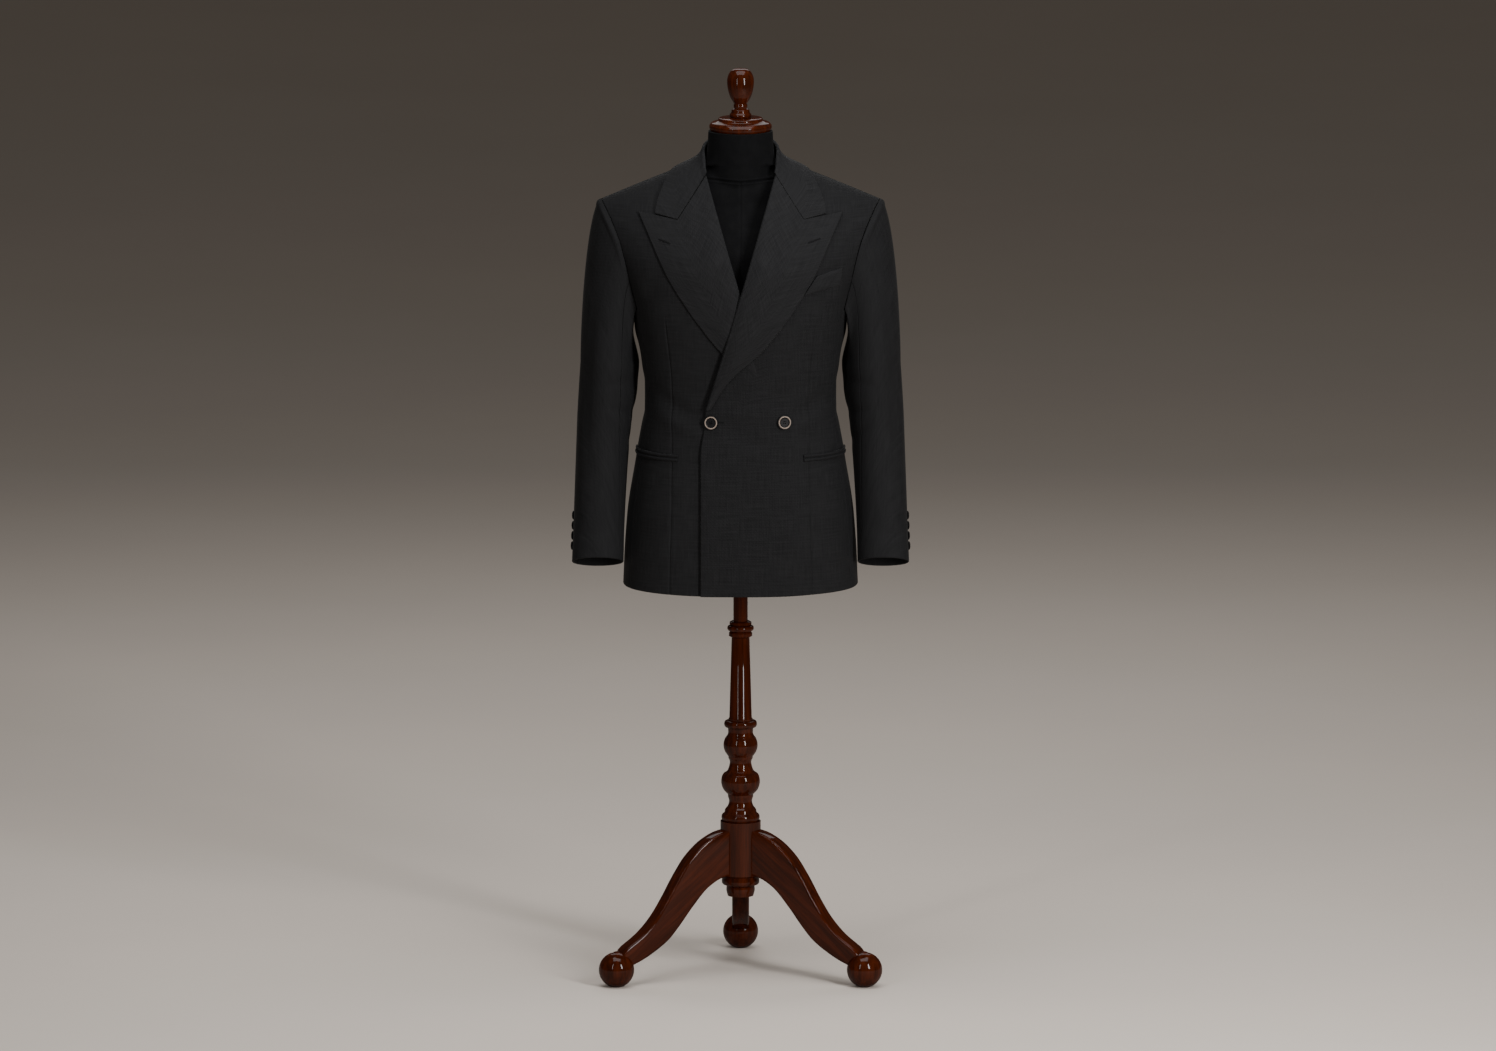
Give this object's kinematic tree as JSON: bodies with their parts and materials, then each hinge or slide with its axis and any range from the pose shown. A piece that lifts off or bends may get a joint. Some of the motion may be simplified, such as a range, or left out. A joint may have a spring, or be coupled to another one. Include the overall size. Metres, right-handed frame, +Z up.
{
  "type": "double-breasted suit jacket on a dress form and turned tripod stand",
  "caption": "Charcoal double-breasted suit jacket with peak lapels, worn by a limbless dress form on a turned wooden tripod stand.",
  "frame": {"origin": "the floor, at the middle of the bounding box of the whole; the post's axis is 62.5 mm in front of it, at y = -0.0625", "axes": "+Z up the post, -Y the way the jacket faces, +X to the wearer's left, which is the viewer's right"},
  "size_m": [0.5928, 0.4368, 1.6005],
  "materials": {
    "suit_wool": "fine charcoal worsted twill, matt with a slight sheen",
    "button_horn": "dark polished horn-like resin with a pale ring",
    "form_jersey": "black stretched cotton jersey, matt",
    "dark_wood": "turned mahogany-stained hardwood under gloss lacquer"
  },
  "bodies": {
    "root": {"front_left": "suit_wool", "front_right": "suit_wool", "side_left": "suit_wool", "side_right": "suit_wool", "back_left": "suit_wool", "back_right": "suit_wool", "collar": "suit_wool", "lapel_left": "suit_wool", "lapel_right": "suit_wool", "top_sleeve_left": "suit_wool", "top_sleeve_right": "suit_wool", "under_sleeve_left": "suit_wool", "under_sleeve_right": "suit_wool", "pocket_jets_left": "suit_wool", "pocket_jets_right": "suit_wool", "breast_welt": "suit_wool", "front_button_left": "button_horn", "front_button_right": "button_horn", "cuff_button_left_1": "button_horn", "cuff_button_left_2": "button_horn", "cuff_button_left_3": "button_horn", "cuff_button_left_4": "button_horn", "cuff_button_right_1": "button_horn", "cuff_button_right_2": "button_horn", "cuff_button_right_3": "button_horn", "cuff_button_right_4": "button_horn", "form_torso": "form_jersey", "neck_cap": "dark_wood", "finial": "dark_wood", "rod": "dark_wood", "column": "dark_wood", "hub": "dark_wood", "leg_left": "dark_wood", "leg_right": "dark_wood", "leg_back": "dark_wood", "foot_left": "dark_wood", "foot_right": "dark_wood", "foot_back": "dark_wood"}
  },
  "joints": []
}
